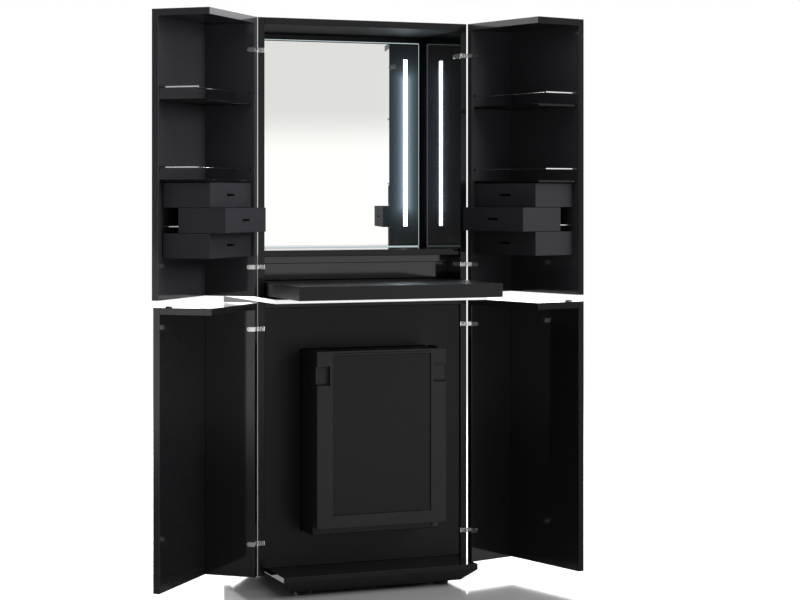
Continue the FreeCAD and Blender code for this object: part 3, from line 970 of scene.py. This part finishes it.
# %% Drawers
DRAWER_WALL = 0.012
DRAWER_FRONT = 0.014
DRAWER_FLOOR = 0.006
PULL_LENGTH = 0.047
PULL_HEIGHT = 0.006
RUNNER_ROOM = 0.0001
RUNNER_END_GAP = 0.005
DRAWER_EDGE = 0.0009
NEAR = 0.0005


def drawer(node, runner_rods, shut_back):
    """A tray on two rods. It may stand open, so the place of its back when shut is given."""
    low, high = solid(node)
    tray = block("tray", low, high)
    pick(tray, "polygons", lambda face: face.normal.z > FACE_TEST)
    bpy.ops.mesh.inset(thickness=DRAWER_WALL)
    pull(z=low.z + DRAWER_FLOOR - high.z)
    object_mode()
    inner_front = high.y - DRAWER_WALL
    pick(tray, "vertices", lambda point: abs(point.co.y - inner_front) < NEAR)
    bpy.ops.transform.translate(value=(0, DRAWER_WALL - DRAWER_FRONT, 0))
    object_mode()
    centre = (low + high) / 2
    reach = Vector((PULL_LENGTH / 2, DRAWER_FRONT / 2 + PAST, PULL_HEIGHT / 2))
    slot_at = Vector((centre.x, high.y - DRAWER_FRONT / 2, centre.z))
    slot = block("slot", slot_at - reach, slot_at + reach)
    pick(slot, "edges", lambda edge: along(slot, edge, Y))
    bpy.ops.mesh.bevel(offset=PULL_HEIGHT / 2 * FULL_ROUND, segments=ROUND_STEPS)
    object_mode()
    carve(tray, slot)
    for rod_low, rod_high in runner_rods:
        axis = (rod_low + rod_high) / 2
        if low.z < axis.z < high.z:
            start = Vector((axis.x, rod_low.y - PAST, axis.z))
            end = Vector((axis.x, rod_high.y + RUNNER_END_GAP + low.y - shut_back, axis.z))
            carve(tray, rod("bore", start, end, (rod_high.z - rod_low.z) / 2 + RUNNER_ROOM))
    settle(named(tray, node + "_tray"), node, edge=DRAWER_EDGE)


for side in ("left", "right"):
    runner_node = f"upper_{side}_drawer_runners"
    runner_rods = solids(runner_node)
    shut_back = solid(f"upper_{side}_drawer_1")[0].y
    for number in (1, 2, 3):
        drawer(f"upper_{side}_drawer_{number}", runner_rods, shut_back)
    rods = []
    ends = []
    for low, high in runner_rods:
        axis = (low + high) / 2
        radius = (high.z - low.z) / 2
        start = Vector((axis.x, low.y, axis.z))
        bare = start + Vector((0, SOCKET_LONG, 0))
        rods.append(rod("runner", bare, Vector((axis.x, high.y, axis.z)), radius))
        ends.append((start, bare, radius))
    settle(join(f"{side}_runner_rods", rods), runner_node, edge=SMALL_EDGE)
    sockets(f"{side}_runner_sockets", f"upper_{side}_door", ends)

# %% [markdown]
# Under the base plate the plinth leans in on all sides, so the cabinet seems to float.
# It is a block whose bottom face is scaled down. The feet are two steps: a wide pad on
# the floor, and a narrower stem made by insetting the pad's top and pulling it up.

# %% Plinth and feet
PLINTH_TAPER = 0.037
PAD_HEIGHT = 0.006
STEM_INSET = 0.007
FOOT_SIDES = 48
FOOT_EDGE = 0.0012
low, high = solid("plinth")
plinth = block("plinth_taper", low, high)
size = high - low
pick(plinth, "polygons", lambda face: face.normal.z < -FACE_TEST)
bpy.ops.transform.resize(
    value=(1 - 2 * PLINTH_TAPER / size.x, 1 - 2 * PLINTH_TAPER / size.y, 1),
    center_override=(low + high) / 2,
)
object_mode()
settle(plinth, "plinth")
feet = []
for low, high in solids("feet"):
    centre = (low + high) / 2
    bottom = Vector((centre.x, centre.y, low.z))
    foot = rod("foot", bottom, bottom + Vector((0, 0, PAD_HEIGHT)), (high.x - low.x) / 2, FOOT_SIDES)
    pick(foot, "polygons", lambda face: face.normal.z > FACE_TEST)
    bpy.ops.mesh.inset(thickness=STEM_INSET)
    pull(z=high.z - low.z - PAD_HEIGHT)
    object_mode()
    feet.append(foot)
settle(join("foot_pads", feet), "feet", edge=FOOT_EDGE)

# %% [markdown]
# The minibar's case is a block hollowed from the front, and its liner is a thinner shell
# in the hollow with rounded inner corners. A hollow is a part of the front that is cut
# free and pushed in. The room is not in the middle of the case, because the case reaches
# lower than the door.

# %% Minibar case and liner
CASE_EDGE = 0.003
LINER_WALL = 0.003
LINER_CORNER = 0.012


def hollow(name, low, high, room_low, room_high):
    """A block with a room in it that is open to the front."""
    piece = block(name, low, high)
    cut_frame(piece, room_low, room_high)

    def doorway(face):
        return within(face, room_low, room_high) and face.normal.y < -FACE_TEST

    pick(piece, "polygons", doorway)
    pull(y=room_high.y - low.y)
    object_mode()
    return piece


liner_low, liner_high = solid("fridge_liner")
case = hollow("minibar_case", shell_low, shell_high, liner_low, liner_high)
settle(case, "fridge_shell", edge=CASE_EDGE)
wall = Vector((LINER_WALL, LINER_WALL, LINER_WALL))
liner = hollow("minibar_liner", liner_low, liner_high, liner_low + wall, liner_high - wall)


def room_corner(edge):
    """Whether an edge of the liner is a corner of its room that runs from front to back."""
    at = middle(liner, edge)
    gaps = [
        min(abs(at[axis] - liner_low[axis] - LINER_WALL), abs(at[axis] - liner_high[axis] + LINER_WALL))
        for axis in FRONT_AXES
    ]
    return along(liner, edge, Y) and max(gaps) < NEAR


pick(liner, "edges", room_corner)
bpy.ops.mesh.bevel(offset=LINER_CORNER, segments=ROUND_STEPS)
object_mode()
settle(liner, "fridge_liner", edge=SMALL_EDGE)
board("fridge_shelf", SMALL_EDGE)

# %% [markdown]
# The minibar's door has two posts with a sunk panel between them, and a finger scoop in
# each post that opens to the outside. The panel's place is cut and pushed in, a fine
# groove runs along the top rail, and each scoop is taken out with a block whose lower
# inner edge is rounded, so the scoop runs out towards the front.

# %% Minibar door
PANEL_SINK = 0.008
GRIP_WIDTH = 0.037
GRIP_DEPTH = 0.012
GRIP_HEIGHT = 0.052
GRIP_FROM_TOP = 0.041
GRIP_ROUND = 0.0105
DOOR_EDGE = 0.0022
PANEL_GAP = Vector((0.0003, 0.0, 0.0003))
RAIL_GROOVE = 0.0014
GROOVE_FROM_TOP = 0.0055
BORE_DEPTH = 0.013
BORE_RADIUS = 0.00405

low, high = solid("fridge_door")
face_low, face_high = solid("fridge_door_face")
sunk_low = Vector((face_low.x, low.y, face_low.z)) - PANEL_GAP
sunk_high = Vector((face_high.x, low.y + PANEL_SINK, face_high.z)) + PANEL_GAP
minibar_door = hollow("minibar_door", low, high, sunk_low, sunk_high)
groove_top = Vector((sunk_high.x, low.y + RAIL_GROOVE, high.z - GROOVE_FROM_TOP))
groove = block("groove", Vector((sunk_low.x, low.y - PAST, groove_top.z - RAIL_GROOVE)), groove_top)
carve(minibar_door, groove)
grip_top = high.z - GRIP_FROM_TOP
for outer, inner in ((low.x - PAST, low.x + GRIP_WIDTH), (high.x + PAST, high.x - GRIP_WIDTH)):
    scoop_low = Vector((min(outer, inner), low.y - PAST, grip_top - GRIP_HEIGHT))
    scoop_high = Vector((max(outer, inner), low.y + GRIP_DEPTH, grip_top))
    scoop = block("scoop", scoop_low, scoop_high)
    deep_low = Vector((0, scoop_high.y, scoop_low.z))
    is_deep = [(middle(scoop, edge) - deep_low).yz.length < PAST for edge in scoop.data.edges]
    pick(scoop, "edges", lambda edge: is_deep[edge.index])
    bpy.ops.mesh.bevel(offset=GRIP_ROUND, segments=ROUND_STEPS)
    object_mode()
    carve(minibar_door, scoop)
pin = Vector(next(joint["pos_m"] for joint in frame["joints"] if joint["child"] == "fridge_door"))
for start_z, end_z in ((low.z - PAST, low.z + BORE_DEPTH), (high.z - BORE_DEPTH, high.z + PAST)):
    start, end = Vector((pin.x, pin.y, start_z)), Vector((pin.x, pin.y, end_z))
    carve(minibar_door, rod("bore", start, end, BORE_RADIUS))
settle(minibar_door, "fridge_door", edge=DOOR_EDGE)
board("fridge_door_face", PLATE_EDGE)

# %% [markdown]
# The seal is a rubber frame, made as the window board was. The brackets are bent plates
# with a pin, at the top and the bottom of the door's right side.

# %% Seal and brackets
SEAL_WIDTH = Vector((0.014, 0.0, 0.014))
SEAL_EDGE = 0.0012
BRACKET = 0.003
PIN_RADIUS = 0.004
PIN_LENGTH = 0.012
BRACKET_GAP = 0.001
seal_low, seal_high = solid("fridge_door_seal")
seal = block("seal_frame", seal_low, seal_high)
open_window(seal, seal_low + SEAL_WIDTH, seal_high - SEAL_WIDTH)
settle(seal, "fridge_door_seal", edge=SEAL_EDGE)


def bracket(low, high, plate_z, split_y, end_z):
    """A bent plate: a flat strip whose rear part is pulled down."""
    plate = block("plate", Vector((low.x, low.y, plate_z)), Vector((high.x, high.y, plate_z + BRACKET)))
    cut_across(plate, Y, split_y)
    pick(plate, "polygons", lambda face: face.normal.z < -FACE_TEST and face.center.y > split_y)
    pull(z=end_z - plate_z)
    object_mode()
    return plate


(lower_low, lower_high), (upper_low, upper_high) = solids("fridge_hinge_brackets")
under = low.z - BRACKET_GAP
over = high.z + BRACKET_GAP
plates = [
    bracket(lower_low, lower_high, under - BRACKET, lower_high.y - BRACKET, lower_low.z),
    bracket(upper_low, upper_high, over, shell_low.y, shell_high.z),
]
pins = [
    rod("pin", Vector((pin.x, pin.y, start)), Vector((pin.x, pin.y, end)), PIN_RADIUS)
    for start, end in ((under, low.z + PIN_LENGTH), (high.z - PIN_LENGTH, over))
]
settle(join("minibar_brackets", plates + pins), "fridge_hinge_brackets", edge=LEAF_EDGE)

# %% [markdown]
# The stage is a pale glossy floor under a white sky. The sky is full white for the camera
# and for reflections, and gentler as a light, so the blacks stay black. Behind the cabinet
# it is brighter than white, as a studio's lit backdrop is: that puts light lines on the
# edges that face it. To the left in front it is dark, as a studio is around its camera, so
# the walls of the bar stay dark in the mirror. The mirror itself looks at a white wall that
# is brightest low down. Far from the cabinet the floor fades to white, so no horizon shows.

# %% Floor and sky
FLOOR_SIZE = 60.0
FADE_START = 1.8
FADE_END = 6.0
SKY_LIGHT = 0.26
BACKDROP = 4.0
BACKDROP_LIGHT = 0.7
CAMERA_SIDE = (-0.7, -0.71, 0.0)
CAMERA_SIDE_LIGHT = 0.08
LOW_WALL = 1.38
LOW_WALL_TOP = (0.020, 0.045)
TOWARD_BACKDROP = (0.05, 0.5)
TOWARD_CAMERA = (0.5, 0.8)


def ray_kinds(tree):
    """One for what the camera sees straight on, and one for what it sees by mirrors or glass."""
    rays = tree.nodes.new("ShaderNodeLightPath")
    straight, glossy, through = (
        Wire(tree, rays.outputs[f"Is {kind} Ray"]) for kind in ("Camera", "Glossy", "Transmission")
    )
    return straight, straight.math("MAXIMUM", glossy, through)


bpy.ops.object.select_all(action="DESELECT")
bpy.ops.mesh.primitive_plane_add(size=FLOOR_SIZE, location=(0, 0, cad_box[0].z))
floor = named(bpy.context.object, "studio_floor")
place(floor)
shader, at = start_finish("studio_floor")
floor.data.materials.append(finishes["studio_floor"])
give(
    shader,
    Base_Color=blend(cloud(at, 1.5), (0.46, 0.46, 0.46), (0.50, 0.50, 0.50)),
    Roughness=0.09 + 0.03 * cloud(at, 4.0),
    Specular_IOR_Level=0.5,
)
tree = shader.id_data
distance = at.node("ShaderNodeVectorMath", {"operation": "LENGTH"}, {0: at}, out="Value")
straight, by_mirror = ray_kinds(tree)
far = mask(distance, FADE_START, FADE_END) * at.math("MAXIMUM", straight, by_mirror)
glow = blend(by_mirror, (1.0, 1.0, 1.0), (LOW_WALL, LOW_WALL, LOW_WALL))
white = at.node("ShaderNodeEmission", None, {"Color": glow, "Strength": 1.0})
ground = Wire(tree, shader.outputs["BSDF"])
mixed = at.node("ShaderNodeMixShader", None, {0: far, 1: ground, 2: white})
tree.links.new(mixed.socket, tree.nodes["Material Output"].inputs["Surface"])

world = bpy.data.worlds.new("studio_sky")
world.use_nodes = True
bpy.context.scene.world = world
tree = world.node_tree
sky = tree.nodes["Background"]
sky.inputs["Color"].default_value = (1.0, 1.0, 1.0, 1.0)
straight, by_mirror = ray_kinds(tree)
direction = straight.node("ShaderNodeTexCoord", out="Generated")
behind = mask(direction.axis("Y"), *TOWARD_BACKDROP)
toward_camera = straight.node(
    "ShaderNodeVectorMath", {"operation": "DOT_PRODUCT"}, {0: direction, 1: CAMERA_SIDE}, out="Value"
)
shade = 1.0 - (1.0 - CAMERA_SIDE_LIGHT) * mask(toward_camera, *TOWARD_CAMERA)
above_wall = mask(direction.axis("Z"), *LOW_WALL_TOP)
mirrored = LOW_WALL + (1.0 - LOW_WALL) * above_wall + (BACKDROP - 1.0) * behind
lit = SKY_LIGHT + (BACKDROP_LIGHT - SKY_LIGHT) * behind
indirect = by_mirror * mirrored * shade + (1.0 - by_mirror) * lit
Wire.plug(tree, sky.inputs["Strength"], straight + (1.0 - straight) * indirect)
print("floor", FLOOR_SIZE, "m, fades from", FADE_START, "to", FADE_END, "m")

# %% [markdown]
# Two large soft lamps stand above and to the right. They are big, so that their shadows are
# soft, and they are kept out of reflections, because the sky already gives those.

# %% Lamps
def soft_lamp(name, at, toward, size, power):
    data = bpy.data.lights.new(name, "AREA")
    data.size = size
    data.energy = power
    lamp = bpy.data.objects.new(name, data)
    bpy.context.scene.collection.objects.link(lamp)
    lamp.location = at
    lamp.rotation_euler = (Vector(toward) - Vector(at)).to_track_quat("-Z", "Y").to_euler()
    lamp.visible_glossy = False


soft_lamp("top_lamp", at=(0.6, -1.0, 3.3), toward=(0.0, 0.0, 0.8), size=2.4, power=45.0)
soft_lamp("side_lamp", at=(3.0, -2.6, 2.3), toward=(0.0, 0.0, 1.3), size=1.6, power=95.0)

# %% [markdown]
# The camera was worked out from the photograph's corners: it is level, stands well back
# to the left, and looks along a line turned to the right. The horizon lies high in the
# picture, which a level camera gets by shifting its lens, not by tilting.

# %% Camera
CAMERA_FROM_FRONT = Vector((-1.9789, -5.2849, 1.0972))
CAMERA_YAW = radians(21.55)
FOCAL_PIXELS = 1992.37
IMAGE_WIDTH = 800
IMAGE_HEIGHT = 600
HORIZON = 196.26

camera = bpy.data.objects.new("camera", bpy.data.cameras.new("camera"))
bpy.context.scene.collection.objects.link(camera)
front_middle = Vector(((wall_left.x + wall_right.x) / 2, wall_left.y, cad_box[0].z))
camera.location = front_middle + CAMERA_FROM_FRONT
camera.rotation_euler = (pi / 2, 0.0, -CAMERA_YAW)
camera.data.lens = FOCAL_PIXELS / IMAGE_WIDTH * camera.data.sensor_width
camera.data.shift_y = (HORIZON - IMAGE_HEIGHT / 2) / IMAGE_WIDTH
bpy.context.scene.camera = camera
bpy.context.scene.view_settings.view_transform = "Standard"
print("lens", round(camera.data.lens, 2), "shift", round(camera.data.shift_y, 4))
